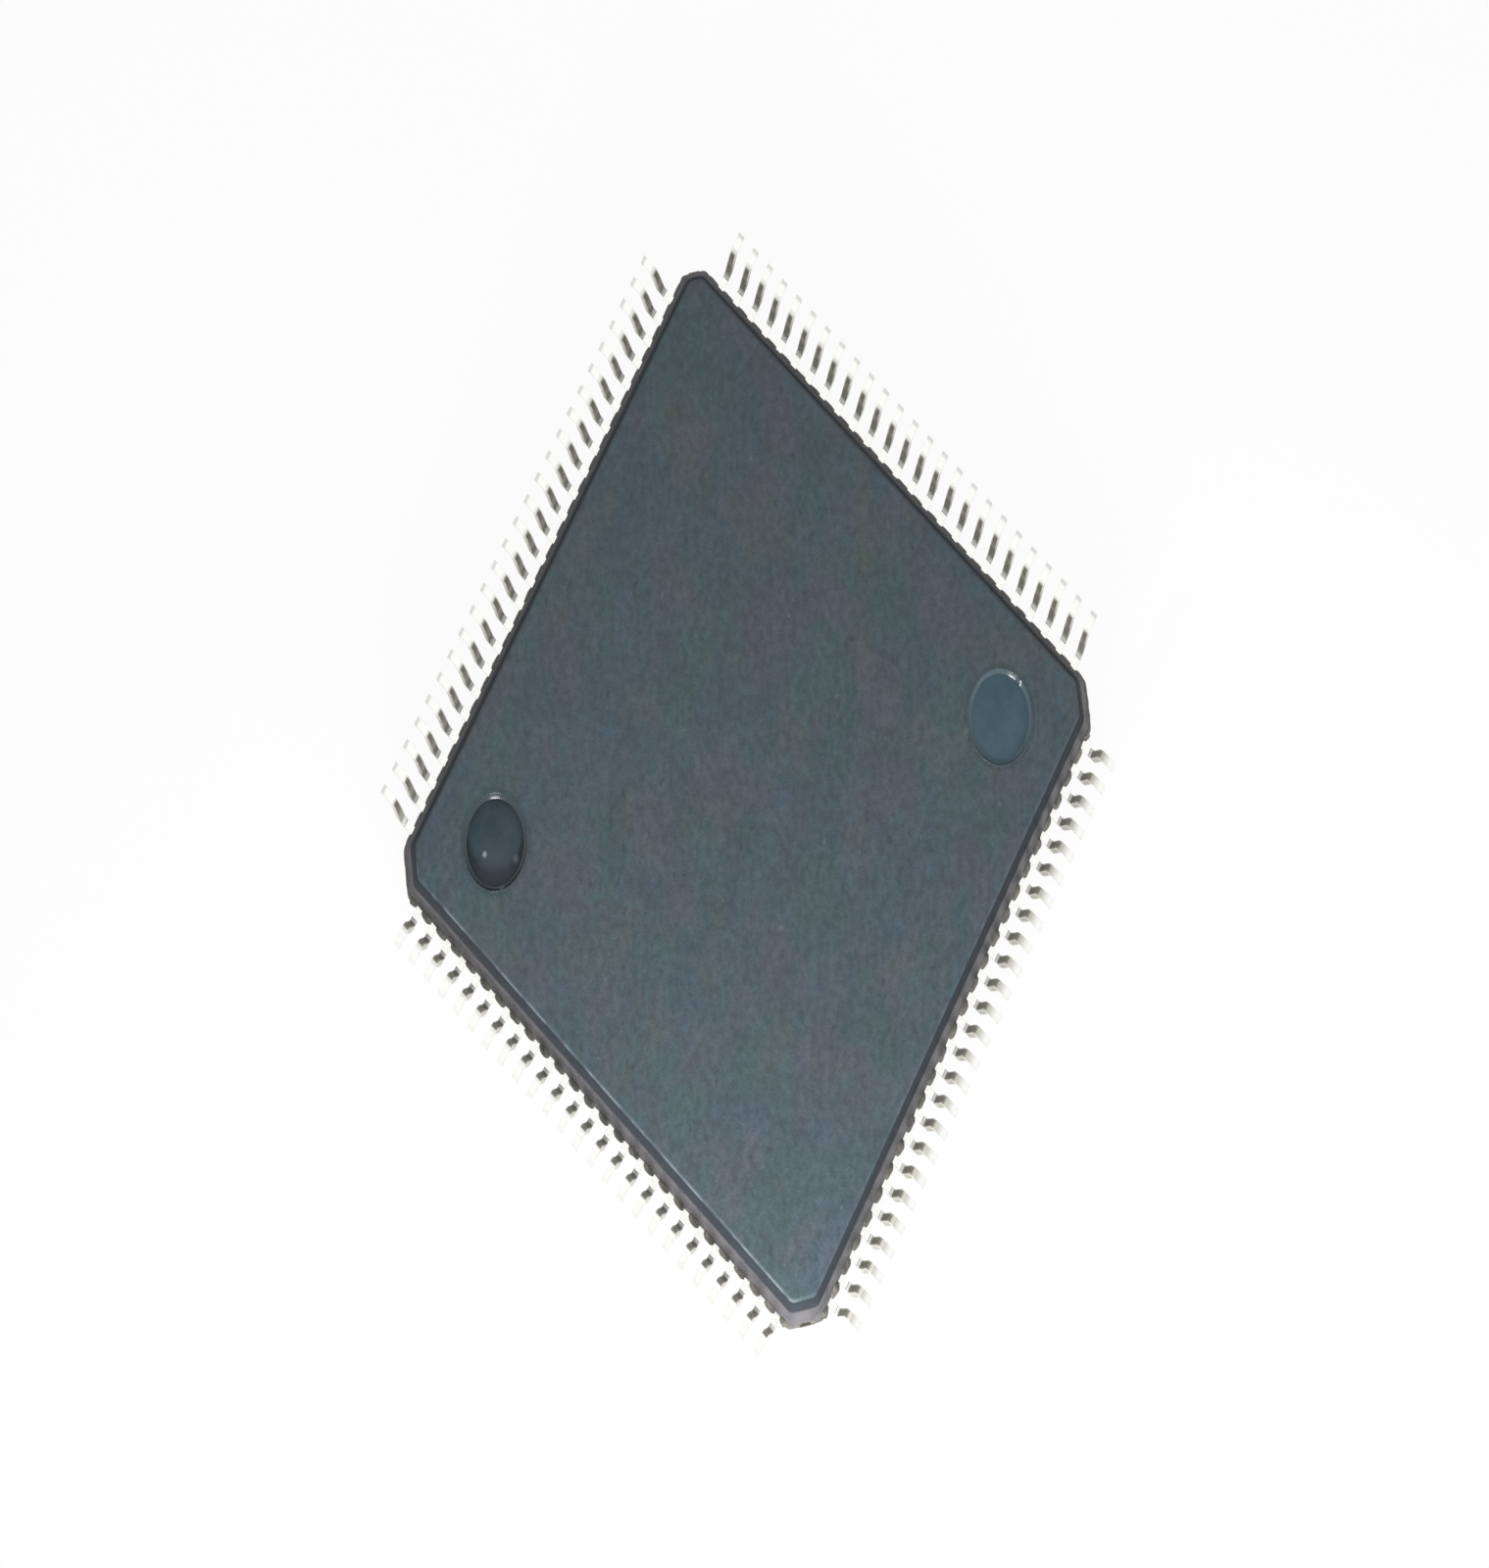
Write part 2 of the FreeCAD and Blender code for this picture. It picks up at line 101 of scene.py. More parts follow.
class Nodes:
    """Adds nodes to a shader's tree. Places and distances in it are in millimetres."""

    def __init__(self, tree, output="ShaderNodeOutputMaterial"):
        self.tree = tree
        self.tree.nodes.clear()
        self.output = self.add(output)

    def feed(self, target, value):
        if isinstance(value, bpy.types.NodeSocket):
            self.tree.links.new(value, target)
        else:
            target.default_value = value

    def add(self, kind, settings=None, **inputs):
        """A node with its settings, and its inputs by name, or by number as i0, i1 and so on."""
        node = self.tree.nodes.new(kind)
        for key, value in (settings or {}).items():
            setattr(node, key, value)
        for key, value in inputs.items():
            numbered = key[0] == "i" and key[1:].isdigit()
            self.feed(node.inputs[int(key[1:]) if numbered else key.replace("_", " ")], value)
        return node

    def surface(self, shader):
        self.tree.links.new(shader.outputs[0], self.output.inputs["Surface"])

    # Numbers

    def math(self, operation, *values):
        inputs = {f"i{index}": value for index, value in enumerate(values)}
        return self.add("ShaderNodeMath", {"operation": operation}, **inputs).outputs[0]

    def plus(self, first, second):
        return self.math("ADD", first, second)

    def minus(self, first, second):
        return self.math("SUBTRACT", first, second)

    def times(self, first, second):
        return self.math("MULTIPLY", first, second)

    def larger(self, first, second):
        return self.math("MAXIMUM", first, second)

    def size(self, value):
        return self.math("ABSOLUTE", value)

    def between(self, value, start, stop, first=0.0, second=1.0):
        """Runs smoothly from first to second as value goes from start to stop."""
        inputs = {"Value": value, "From_Min": start, "From_Max": stop, "To_Min": first, "To_Max": second}
        return self.add("ShaderNodeMapRange", {"interpolation_type": "SMOOTHSTEP"}, **inputs).outputs[0]

    def seen(self):
        """1 for what the camera sees, also in a reflection, and 0 for what lights other surfaces."""
        path = self.add("ShaderNodeLightPath").outputs
        through = self.larger(path["Is Glossy Ray"], path["Is Transmission Ray"])
        return self.larger(path["Is Camera Ray"], through)

    # Places

    def place(self):
        """The place on the part."""
        spot = self.add("ShaderNodeTexCoord").outputs["Object"]
        return self.add("ShaderNodeVectorMath", {"operation": "SCALE"}, i0=spot, Scale=1 / MM).outputs[0]

    def parts(self, place):
        """A place's X, Y and Z by name."""
        return self.add("ShaderNodeSeparateXYZ", Vector=place).outputs

    def moved(self, place, offset):
        return self.add("ShaderNodeVectorMath", {"operation": "ADD"}, i0=place, i1=offset).outputs[0]

    def drawn_out(self, place, turn, stretch):
        """The place squeezed along one direction, so that a pattern on it is drawn out that way."""
        turned = self.add("ShaderNodeMapping", Vector=place, Rotation=(0, 0, -turn)).outputs[0]
        return self.add("ShaderNodeMapping", Vector=turned, Scale=(1 / stretch, 1, 1)).outputs[0]

    def apart(self, place, centre):
        """The distance from a centre."""
        settings = {"operation": "DISTANCE"}
        return self.add("ShaderNodeVectorMath", settings, i0=place, i1=centre).outputs["Value"]

    # Patterns and colours

    def noise(self, place, scale, detail=2.0, rough=0.5):
        """A cloudy pattern around 0.5, with about as many clouds to a millimetre as scale says."""
        node = self.add("ShaderNodeTexNoise", Vector=place, Scale=scale, Detail=detail, Roughness=rough)
        return node.outputs["Fac"]

    def blend(self, share, first, second, mode="MIX"):
        """Two colours mixed by a share."""
        node = self.add("ShaderNodeMix", {"data_type": "RGBA", "blend_type": mode}, Factor=share)
        colours = [socket for socket in node.inputs if socket.type == "RGBA"]
        for socket, value in zip(colours, (first, second)):
            self.feed(socket, value)
        return [socket for socket in node.outputs if socket.type == "RGBA"][0]

    def bump(self, height, depth):
        return self.add("ShaderNodeBump", Height=height, Distance=depth * MM).outputs[0]


def new_material(name):
    """A material with nothing but its output."""
    material = bpy.data.materials.new(name)
    material.use_nodes = True
    return material, Nodes(material.node_tree)


# Most values of a noise lie in the wide span, and the narrow one gives it more contrast
WIDE_SPAN = (0.3, 0.7)
NARROW_SPAN = (0.35, 0.65)


# The package: its resin, its walls and the floors of its marks

# A pair of numbers here is two places in millimetres, between which something fades in.
GRAIN_TURN = math.radians(126)
GRAIN_STRETCH = 1.15
TEAL = colour(66, 82, 85)
SLATE = colour(67, 80, 89)
MAUVE = colour(75, 80, 89)
UMBER = colour(75, 82, 84)


def resin_colour(nodes, place):
    """Blue-grey epoxy, mottled teal, mauve and umber, with a fine grain, dark pits and pale specks."""
    grain = nodes.drawn_out(place, GRAIN_TURN, GRAIN_STRETCH)
    patches = nodes.noise(nodes.moved(grain, (11, 3, 7)), 0.55, 4.0, 0.6)
    warm = nodes.noise(nodes.moved(grain, (31, 17, 5)), 0.7, 4.0, 0.6)
    browner = nodes.noise(nodes.moved(grain, (5, 41, 13)), 0.6, 4.0, 0.6)
    fine = nodes.noise(grain, 6.0, 3.0, 0.6)
    soft = nodes.noise(nodes.moved(grain, (2, 9, 23)), 1.9, 3.0, 0.6)
    pits = nodes.noise(nodes.moved(grain, (19, 7, 2)), 4.4, 1.0, 0.4)
    specks = nodes.noise(nodes.moved(grain, (3, 29, 11)), 4.8, 1.0, 0.4)
    base = nodes.blend(nodes.between(patches, 0.4, 0.6), TEAL, SLATE)
    base = nodes.blend(nodes.between(warm, 0.46, 0.62, 0.0, 0.9), base, MAUVE)
    base = nodes.blend(nodes.between(browner, 0.52, 0.66, 0.0, 0.8), base, UMBER)
    light = nodes.between(fine, 0.28, 0.72, 0.82, 1.18)
    light = nodes.times(light, nodes.between(soft, *WIDE_SPAN, 0.92, 1.08))
    light = nodes.times(light, nodes.between(pits, 0.7, 0.77, 1.0, 0.78))
    light = nodes.times(light, nodes.between(specks, 0.75, 0.8, 1.0, 1.35))
    tint = nodes.add("ShaderNodeCombineColor", Red=light, Green=light, Blue=light).outputs[0]
    return nodes.blend(1.0, base, tint, "MULTIPLY"), fine


# A painted highlight along the face edges at -Y, and painted shade in a strip under all face edges
PAINTED_EDGE_HIGHLIGHT = colour(140, 150, 158)
PAINTED_EDGE_SHADE = colour(45, 50, 57)
WALL_BAND = colour(103, 101, 104)
EDGE_HIGHLIGHT_DEPTHS = (0.01, 0.03)
EDGE_SHADE_DEPTHS = (0.035, 0.055)
WALL_BAND_DEPTHS = (0.32, 0.46)
EDGE_HIGHLIGHT_REACH = (0.6 - BODY_HALF / MM, 0.3 - BODY_HALF / MM)


def wall_colour(nodes, place, base):
    """The walls: a painted highlight along the edges at -Y, a strip of painted shade under the edges and
    a paler patchy band.

    The second value tells how far a place lies in the strip of painted shade."""
    parts = nodes.parts(place)
    off_parting = nodes.size(nodes.minus(parts["Z"], PARTING_LEVEL / MM))
    depth = nodes.minus((FACE_LEVEL - PARTING_LEVEL) / MM, off_parting)
    # Painted highlight along the face edges at -Y
    painted_highlight = nodes.between(nodes.noise(place, 1.8, 3.0), 0.4, 0.62, 0.0, 0.5)
    painted_highlight = nodes.times(painted_highlight, nodes.between(depth, *EDGE_HIGHLIGHT_DEPTHS))
    painted_highlight = nodes.times(painted_highlight, nodes.between(parts["Y"], *EDGE_HIGHLIGHT_REACH))
    base = nodes.blend(painted_highlight, base, PAINTED_EDGE_HIGHLIGHT)
    # Painted shade in a strip just under the face edges
    dark = nodes.between(depth, *EDGE_SHADE_DEPTHS)
    base = nodes.blend(nodes.times(dark, 0.95), base, PAINTED_EDGE_SHADE)
    band = nodes.between(nodes.noise(place, 2.6, 3.0), 0.3, 0.6, 0.6, 1.0)
    band = nodes.times(band, nodes.between(depth, *WALL_BAND_DEPTHS))
    return nodes.blend(band, base, WALL_BAND), dark


MARK_EDGE = (0.05, -0.03)
# A faint ring of painted shade round each mark, as of a groove
RING_SHADE_FROM_EDGE = 0.1
RING_SHADE_FADE = (0.06, 0.01)
PAINTED_RING_SHADE = colour(44, 56, 62)


def mark_masks(nodes, place, sign):
    """Inside a round mark, and the faint ring of painted shade round it, as of a groove. The deep mark
    has the sign -1.
    """
    centre = (sign * MARK_PLACE / MM, sign * MARK_PLACE / MM, FACE_LEVEL / MM)
    from_edge = nodes.minus(nodes.apart(place, centre), MARK_DIAMETER / MM / 2)
    off_shade_ring = nodes.size(nodes.minus(from_edge, RING_SHADE_FROM_EDGE))
    return nodes.between(from_edge, *MARK_EDGE), nodes.between(off_shade_ring, *RING_SHADE_FADE)


# The deep floor's dark teal is partly its own colour and partly painted shade in the recess
DEEP_DARK = colour(46, 63, 70)
DEEP_LIGHT = colour(60, 75, 82)
DEEP_MAUVE_PAINTED_LIGHT = colour(76, 82, 94)
DEEP_PAINTED_LIGHT_REACH = (-0.14, 1.07)
SHALLOW_DARK = colour(60, 86, 99)
SHALLOW_LIGHT = colour(74, 96, 106)
PAINTED_GLINT = colour(168, 182, 184)

# Each painted glint on the deep floor: its X and Y, its radius and how strongly it shows
PAINTED_GLINTS = ((-5.08, -5.26, 0.09, 0.9), (-4.33, -4.82, 0.12, 0.4))


def deep_floor(nodes, place):
    """The deep mark's floor: dark teal, partly painted shade, softly clouded, with painted light in
    mauve towards the south-east and two painted glints on it.
    """
    clouds = nodes.noise(nodes.moved(place, (7, 7, 0)), 1.6, 4.0, 0.6)
    base = nodes.blend(nodes.between(clouds, *NARROW_SPAN), DEEP_DARK, DEEP_LIGHT)
    parts = nodes.parts(place)
    # Painted light: paler mauve towards the south-east, over the shadow cast there
    south_east = nodes.minus(parts["X"], parts["Y"])
    base = nodes.blend(nodes.between(south_east, *DEEP_PAINTED_LIGHT_REACH), base, DEEP_MAUVE_PAINTED_LIGHT)
    # Two painted glints on the deep floor
    for spot_x, spot_y, radius, share in PAINTED_GLINTS:
        apart = nodes.apart(place, (spot_x, spot_y, (FACE_LEVEL - MARK_DEPTH) / MM))
        base = nodes.blend(nodes.between(apart, radius, 0.0, 0.0, share), base, PAINTED_GLINT)
    return base


def shallow_floor(nodes, place):
    """The shallow mark's floor: a little bluer than the face round it, and softly clouded."""
    clouds = nodes.noise(place, 1.8, 4.0, 0.6)
    return nodes.blend(nodes.between(clouds, *NARROW_SPAN), SHALLOW_DARK, SHALLOW_LIGHT)


def mould_compound():
    """The package: matt and grainy on its faces, smooth in its marks, with painted shade along its face
    edges.
    """
    material, nodes = new_material("mould_compound")
    place = nodes.place()
    base, fine = resin_colour(nodes, place)
    deep, deep_ring_shade = mark_masks(nodes, place, -1)
    shallow, shallow_ring_shade = mark_masks(nodes, place, 1)
    # Painted shade in a faint ring round each mark
    base = nodes.blend(nodes.times(nodes.larger(deep_ring_shade, shallow_ring_shade), 0.35), base, PAINTED_RING_SHADE)
    base, shade_under_edge = wall_colour(nodes, place, base)
    base = nodes.blend(nodes.times(deep, 0.9), base, deep_floor(nodes, place))
    base = nodes.blend(nodes.times(shallow, 0.75), base, shallow_floor(nodes, place))
    marks = nodes.larger(deep, shallow)
    rough = nodes.between(fine, *WIDE_SPAN, 0.5, 0.6)
    rough = nodes.plus(rough, nodes.times(marks, -0.22))
    rough = nodes.plus(rough, nodes.times(shade_under_edge, 0.36))
    grit = nodes.noise(place, 16.0, 2.0, 0.7)
    waves = nodes.noise(place, 2.4, 2.0)
    relief = nodes.plus(nodes.plus(grit, fine), nodes.times(waves, 1.5))
    relief = nodes.times(relief, nodes.between(nodes.larger(marks, shade_under_edge), 0.0, 1.0, 1.0, 0.22))
    nodes.surface(nodes.add("ShaderNodeBsdfPrincipled", Base_Color=base, Roughness=rough,
                            Specular_IOR_Level=0.3, Normal=nodes.bump(relief, 0.01)))
    return material


def flash_resin():
    """The thin resin that crept between the halves of the mould: brown, uneven and a little glossy."""
    material, nodes = new_material("mould_flash")
    grain = nodes.noise(nodes.place(), 5.0, 3.0, 0.6)
    base = nodes.blend(nodes.between(grain, *NARROW_SPAN), colour(86, 84, 79), colour(114, 111, 104))
    rough = nodes.between(grain, *WIDE_SPAN, 0.4, 0.6)
    nodes.surface(nodes.add("ShaderNodeBsdfPrincipled", Base_Color=base, Roughness=rough,
                            Specular_IOR_Level=0.3, Normal=nodes.bump(grain, 0.01)))
    return material


def lip_resin(name, share, tone, shine):
    """The thin polished lip round a mark, blended towards a tone."""
    material, nodes = new_material(name)
    base, fine = resin_colour(nodes, nodes.place())
    base = nodes.blend(share, base, tone)
    rough = nodes.between(fine, *WIDE_SPAN, 0.17, 0.24)
    nodes.surface(nodes.add("ShaderNodeBsdfPrincipled", Base_Color=base, Roughness=rough,
                            Specular_IOR_Level=shine, Normal=nodes.bump(fine, 0.001)))
    return material


# The leads

# The forming die dulled the inner faces of their legs, which also carry painted shade and dark
# reflection, a little differently on the north and west sides, +Y and -X, than on the south and east
# ones. Pairs of numbers are in millimetres again.
TIN = colour(255, 255, 252)
TIN_GRAIN = colour(251, 251, 246)
TIN_STAIN = colour(244, 242, 232)
TIN_RIM_SHADE = colour(214, 214, 208)
LEG_SHADE_RIM = colour(206, 203, 192)
LEG_PAINTED_SHADE = colour(148, 145, 131)
LEG_PAINTED_SHADE_HIGH = colour(104, 101, 90)
LEG_PAINTED_SHADE_LOW = colour(196, 193, 178)
HEEL_PAINTED_SHADE = colour(182, 179, 164)
SHEARED_TIP = colour(198, 195, 191)

CORE_FROM_RIM = (-0.015, -0.035)
RIM_SHADE_FROM_RIM = (-0.02, -0.005)
LEG_INSIDE = (0.065, 0.045)
LEG_BOTTOM = (0.078, 0.13)
NORTH_WEST_LIFT = 0.05
LEG_TOP = (0.145, 0.0)
SHADE_OVER_SHOULDER = 0.2
SHADE_OVER_HEEL = 0.02
FORMED_BOTTOM = (0.002, 0.008)
FORMED_TOP = (0.148, 0.125)
HEEL_SHADE_REACH = (0.92, 0.62)
HEEL_SHADE_HEIGHT = (0.0, 0.1)
HEEL_SHADE_OFF_WALL = (0.0, 0.2)
TIP_FROM_END = (-0.12, -0.05)


class LeadPlace:
    """Where a place on the leads lies, in millimetres."""

    def __init__(self, nodes, place):
        parts = nodes.parts(place)
        wide, deep = nodes.size(parts["X"]), nodes.size(parts["Y"])
        off_middle = nodes.math("PINGPONG", nodes.math("MINIMUM", wide, deep), LEAD_SPACING / MM / 2)
        reach = nodes.larger(wide, deep)
        self.from_rim = nodes.minus(off_middle, LEAD_WIDTH / MM / 2)
        self.from_end = nodes.minus(reach, TIP_REACH / MM)
        self.from_wall = nodes.minus(reach, BODY_HALF / MM)
        self.east_of_wall = nodes.minus(parts["X"], BODY_HALF / MM)
        self.over_parting = nodes.minus(parts["Z"], PARTING_LEVEL / MM)
        self.over_shoulder = nodes.minus(self.over_parting, METAL_THICKNESS / MM / 2)
        self.over_heel = nodes.minus(parts["Z"], (SOLE_LEVEL - METAL_THICKNESS) / MM)
        leg_middle = nodes.plus(nodes.times(self.over_parting, LEG_RUN / LEG_RISE), LEG_START / MM)
        self.outside_leg = nodes.minus(reach, leg_middle)
        self.north_west = nodes.between(nodes.minus(parts["Y"], parts["X"]), -1.0, 1.0)


def paint_leg_shade(nodes, lead, inner, base):
    """Painted shade and dark reflection on the inner faces of the legs, darkest along their middle."""
    height = nodes.minus(lead.over_parting, nodes.times(lead.north_west, NORTH_WEST_LIFT))
    leg = nodes.times(nodes.between(height, *LEG_BOTTOM), nodes.between(lead.over_heel, *LEG_TOP))
    low = METAL_THICKNESS / MM / 2 + SHADE_OVER_SHOULDER
    high = (SOLE_LEVEL - METAL_THICKNESS - PARTING_LEVEL) / MM + SHADE_OVER_HEEL
    shaded = nodes.blend(nodes.between(lead.over_parting, high, low), LEG_PAINTED_SHADE_HIGH, LEG_PAINTED_SHADE_LOW)
    core_tone = nodes.blend(lead.north_west, LEG_PAINTED_SHADE, shaded)
    tone = nodes.blend(nodes.between(lead.from_rim, *CORE_FROM_RIM), LEG_SHADE_RIM, core_tone)
    return nodes.blend(nodes.times(leg, inner), base, tone)


def heel_shade_mask(nodes, lead):
    """Painted shade and dark reflection on the upper bends of the east side's leads, fading out along
    the feet.
    """
    shade_share = nodes.between(lead.from_wall, *HEEL_SHADE_REACH, 0.0, 0.8)
    shade_share = nodes.times(shade_share, nodes.between(lead.over_heel, *HEEL_SHADE_HEIGHT))
    return nodes.times(shade_share, nodes.between(lead.east_of_wall, *HEEL_SHADE_OFF_WALL))


def tin_plating():
    """Satin tin: pale flats, painted shade on the rims and inner leg faces, legs dulled by the forming
    die, bare metal at the sheared tips.
    """
    material, nodes = new_material("tin_plating")
    place = nodes.place()
    lead = LeadPlace(nodes, place)
    grain = nodes.noise(place, 14.0, 3.0, 0.6)
    stains = nodes.noise(place, 2.2, 3.0, 0.6)
    inner = nodes.between(lead.outside_leg, *LEG_INSIDE)
    base = nodes.blend(nodes.between(grain, *WIDE_SPAN), TIN, TIN_GRAIN)
    base = nodes.blend(nodes.between(stains, 0.55, 0.75, 0.0, 0.25), base, TIN_STAIN)
    # Painted shade along the rims of the leads
    rim_shade = nodes.between(lead.from_rim, *RIM_SHADE_FROM_RIM)
    base = nodes.blend(nodes.times(rim_shade, 0.3), base, TIN_RIM_SHADE)
    # Painted shade and dark reflection on the inner faces of the legs
    base = paint_leg_shade(nodes, lead, inner, base)
    # Painted shade and dark reflection over the upper bends of the east side's leads
    base = nodes.blend(heel_shade_mask(nodes, lead), base, HEEL_PAINTED_SHADE)
    cut = nodes.between(lead.from_end, *TIP_FROM_END)
    # Bare metal at the sheared tips; its larger share on the north and west sides is painted shade
    cut = nodes.times(cut, nodes.between(lead.north_west, 0.0, 1.0, 0.1, 0.65))
    base = nodes.blend(cut, base, SHEARED_TIP)
    formed = nodes.between(lead.over_shoulder, *FORMED_BOTTOM)
    formed = nodes.times(nodes.times(formed, nodes.between(lead.over_heel, *FORMED_TOP)), inner)
    rough = nodes.plus(nodes.between(grain, *WIDE_SPAN, 0.16, 0.26), nodes.times(formed, 0.3))
    dull = nodes.between(formed, 0.0, 1.0, 1.0, 0.2)
    nodes.surface(nodes.add("ShaderNodeBsdfPrincipled", Base_Color=base, Roughness=rough, Metallic=dull,
                            Normal=nodes.bump(grain, 0.004)))
    return material


# What is sealed inside

def plain_metal(name, light, dark, scale, rough):
    """Metal or silicon, faintly grained."""
    material, nodes = new_material(name)
    grain = nodes.noise(nodes.place(), scale, 3.0, 0.6)
    base = nodes.blend(nodes.between(grain, *WIDE_SPAN), light, dark)
    nodes.surface(nodes.add("ShaderNodeBsdfPrincipled", Base_Color=base, Metallic=1.0,
                            Roughness=nodes.between(grain, *WIDE_SPAN, rough, rough + 0.12),
                            Normal=nodes.bump(grain, 0.003)))
    return material


INNER_FINISHES = (
    ("die_pad", "frame_metal", colour(128, 118, 104), colour(98, 90, 80), 8.0, 0.4),
    ("die_attach", "die_attach_paste", colour(190, 190, 188), colour(150, 150, 148), 16.0, 0.5),
    ("die", "silicon", colour(104, 104, 112), colour(84, 84, 94), 3.0, 0.12))
EDGE_SOFTENING = 0.03 * MM


def dress(node, material):
    """Gives a node of the frame its material."""
    node.data.materials.clear()
    node.data.materials.append(material)


def soften(node, width):
    """Takes the sharpness off a node's edges."""
    bevel = node.modifiers.new("soft_edges", "BEVEL")
    bevel.width = width
    bevel.segments = 2
    bevel.limit_method = "ANGLE"
    bevel.angle_limit = math.radians(50)
    bevel.harden_normals = True


dress(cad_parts["package_body"], mould_compound())
tin = tin_plating()
for node in lead_nodes:
    dress(node, tin)
    soften(node, EDGE_SOFTENING)
for name, *finish in INNER_FINISHES:
    dress(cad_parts[name], plain_metal(*finish))
gold = plain_metal("bond_wire_gold", colour(244, 214, 132), colour(230, 190, 100), 20.0, 0.2)
for node in wire_nodes:
    dress(node, gold)


# What the mould left: flash along the parting line, and a thin lip round each mark

def add_piece(name, mesh, material):
    """A new piece of the package's own plastic."""
    mesh.materials.append(material)
    for face in mesh.polygons:
        face.use_smooth = True
    piece = bpy.data.objects.new(name, mesh)
    bpy.context.scene.collection.objects.link(piece)
    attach(piece, "root")


def closed_tube(name, loops):
    """A mesh through closed sections that go round and meet again."""
    mesh = bmesh.new()
    rows = [[mesh.verts.new(spot) for spot in loop] for loop in loops]
    for first, second in zip(rows, rows[1:] + rows[:1]):
        for index in range(len(first)):
            after = (index + 1) % len(first)
            mesh.faces.new((first[index], second[index], second[after], first[after]))
    bmesh.ops.recalc_face_normals(mesh, faces=mesh.faces)
    data = bpy.data.meshes.new(name)
    mesh.to_mesh(data)
    mesh.free()
    return data


FLASH_STEP = 0.03 * MM
FLASH_ARC_STEPS = 6
FLASH_FILM = 0.018 * MM
FLASH_LUMP = 0.042 * MM
FLASH_ROOT = 0.012 * MM
FLASH_BY_SIDE = (2.9, 0.6, 0.6, 2.5)
FLASH_SEED = 7
FILM_HEIGHT = 0.09 * MM
LUMP_HEIGHT = 0.17 * MM
TALLEST_SHARE = 1.2
WANDER_LENGTH = 0.2 * MM


def body_corners():
    """The package's corners at the parting line, going round from the corner +X -Y towards +Y."""
    spots = []
    for across, along in ((1, -1), (1, 1), (-1, 1), (-1, -1)):
        cut = SMALL_CORNER_CUT if (across, along) == (-1, 1) else CORNER_CUT
        ends = [Vector((across * BODY_HALF, along * (BODY_HALF - cut), 0)),
                Vector((across * (BODY_HALF - cut), along * BODY_HALF, 0))]
        spots += ends[::-1] if across * along < 0 else ends
    return spots


def parting_line():
    """Places round the package, each with its way out and its side's number, or None at a corner."""
    corners = body_corners()
    tangent = CORNER_RADIUS * math.tan(math.radians(45) / 2)
    for index, corner in enumerate(corners):
        edge = corners[(index + 1) % len(corners)] - corner
        head = edge.normalized()
        out = head.cross(UP)
        last_head = (corner - corners[index - 1]).normalized()
        last_out = last_head.cross(UP)
        centre = corner - last_head * tangent - last_out * CORNER_RADIUS
        for step in range(FLASH_ARC_STEPS):
            way = last_out.slerp(out, step / FLASH_ARC_STEPS)
            yield centre + way * CORNER_RADIUS, way, None
        run = edge.length - 2 * tangent
        steps = round(run / FLASH_STEP)
        for step in range(steps):
            spot = corner + head * (tangent + run * step / steps)
            yield spot, out, index // 2 if index % 2 else None


def lump_sizes(seed):
    """How full each gap between leads is on each side, with the ends of the rows among them.

    The sides go round in the order of the parting line: east, north, west and south."""
    rolls = random.Random(seed)
    return [[share * rolls.uniform(0.75, 1.15) for _ in range(LEADS_PER_SIDE + 1)]
            for share in FLASH_BY_SIDE]


def fullness(along, sizes):
    """How full of flash a place along a side is, counted from the side's middle."""
    gaps = along / LEAD_SPACING + (LEADS_PER_SIDE + 1) / 2
    index = math.floor(gaps)
    if index < 0 or index > LEADS_PER_SIDE:
        return 0.0
    free = 1 - LEAD_WIDTH / LEAD_SPACING
    off_middle = abs(gaps - index - 0.5) * 2
    return sizes[index] * max(0.0, 1 - (off_middle / free) ** 4)


def flash_section(full, wander):
    """One section of the flash as (out, up) points, from inside the wall over its edge and back."""
    reach = (FLASH_FILM + (FLASH_LUMP - FLASH_FILM) * full) * (1 + 0.4 * wander)
    tall = (FILM_HEIGHT + (LUMP_HEIGHT - FILM_HEIGHT) * min(full, TALLEST_SHARE)) * (1 + 0.3 * wander)
    lean = math.tan(DRAFT)
    return ((-tall * lean - FLASH_ROOT, tall),
            (reach * 0.7 - tall * 0.7 * lean, tall * 0.7),
            (reach, tall * 0.2),
            (reach * 0.8, -tall * 0.2),
            (-tall * 0.4 * lean - FLASH_ROOT, -tall * 0.4))


def flash_ring():
    """A thin uneven fin all round the parting line, with a lump in each gap between leads."""
    sizes = lump_sizes(FLASH_SEED)
    loops = []
    for spot, out, side in parting_line():
        along = spot.dot(UP.cross(out))
        wander = noise.noise(spot / WANDER_LENGTH)
        full = 0.3 + 0.6 * wander if side is None else fullness(along, sizes[side])
        loops.append([spot + out * far + UP * (PARTING_LEVEL + rise)
                      for far, rise in flash_section(full, wander)])
    return closed_tube("parting_flash", loops)


LIP_WIDTH = 0.11 * MM
LIP_RISE = 0.004 * MM
LIP_MARGIN = 0.05 * MM
LIP_SLOPE = math.radians(34)
LIP_UNEVENNESS = 0.06
LIP_STEPS = 180
NICK_HALF = math.radians(5)
NICK_DROP = 0.35


